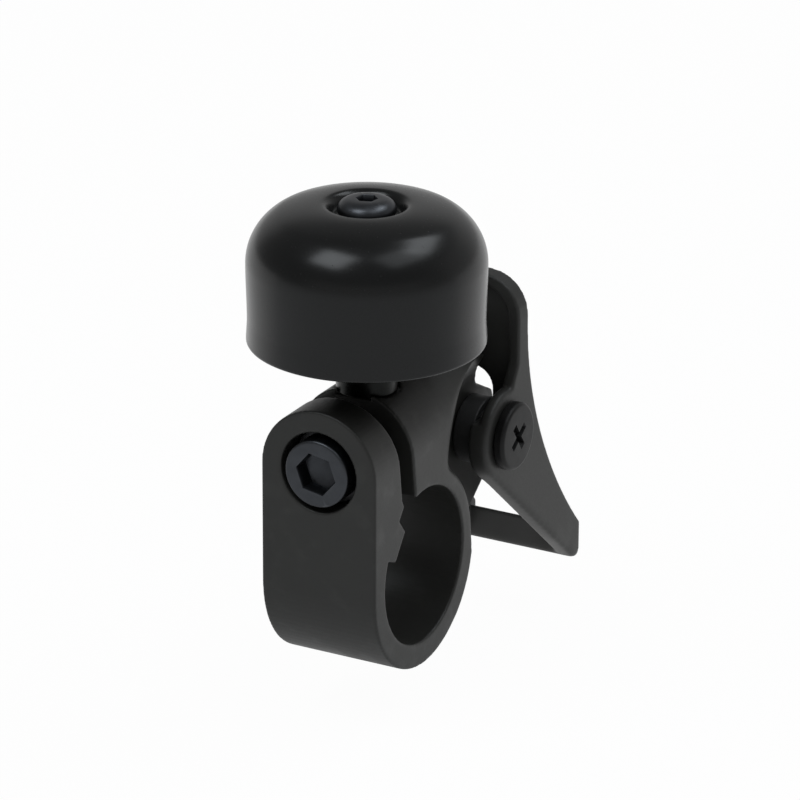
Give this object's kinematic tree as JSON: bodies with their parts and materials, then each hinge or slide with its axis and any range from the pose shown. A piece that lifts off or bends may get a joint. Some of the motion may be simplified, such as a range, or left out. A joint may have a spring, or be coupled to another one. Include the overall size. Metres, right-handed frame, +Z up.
{
  "type": "bicycle bell",
  "caption": "Compact handlebar bell: split screw clamp with a glossy dome on a post and a sprung thumb lever that flicks a striker at the dome.",
  "frame": {"origin": "middle of the handlebar bore, half way along it", "axes": "+X along the handlebar, +Y back towards the thumb lever, +Z up to the bell dome"},
  "size_m": [0.0324, 0.0615, 0.0665],
  "materials": {
    "clamp_body": "satin black coat on a casting",
    "clamp_screw": "black oxide",
    "clamp_washer": "black zinc",
    "bell_post": "black anodised",
    "dome_seat_washer": "fibre",
    "bell_dome": "gloss black",
    "dome_screw": "black oxide",
    "pivot_screw": "black zinc",
    "pivot_sleeve": "plain",
    "pivot_spacer": "moulded",
    "nut_washer": "plain",
    "pivot_nut": "plain",
    "return_spring": "drawn wire",
    "trigger_lever": "fine moulded grain",
    "striker_rivet": "plain",
    "striker_leaf": "rolled strip",
    "striker_head": "turned"
  },
  "bodies": {
    "clamp": {"clamp_body": "clamp_body", "clamp_screw": "clamp_screw", "clamp_washer": "clamp_washer", "bell_post": "bell_post", "dome_seat_washer": "dome_seat_washer", "bell_dome": "bell_dome", "dome_screw": "dome_screw", "pivot_screw": "pivot_screw", "pivot_sleeve": "pivot_sleeve", "pivot_spacer": "pivot_spacer", "nut_washer": "nut_washer", "pivot_nut": "pivot_nut", "return_spring": "return_spring"},
    "trigger": {"trigger_lever": "trigger_lever", "striker_rivet": "striker_rivet"},
    "striker": {"striker_leaf": "striker_leaf", "striker_head": "striker_head"}
  },
  "joints": [
    {"name": "trigger_pivot", "type": "hinge", "parent": "clamp", "child": "trigger", "pos_m": [0, 0.02195, 0.0115], "axis": [-1, 0, 0], "range_deg": [0, 20], "stiffness_Nm_per_rad": 0.02, "springref_deg": -34.38, "deforming": ["return_spring"]},
    {"name": "striker_flex", "type": "hinge", "parent": "trigger", "child": "striker", "pos_m": [0, 0.0257, 0.0263], "axis": [1, 0, 0], "range_deg": [-5, 5], "stiffness_Nm_per_rad": 0.012}
  ]
}
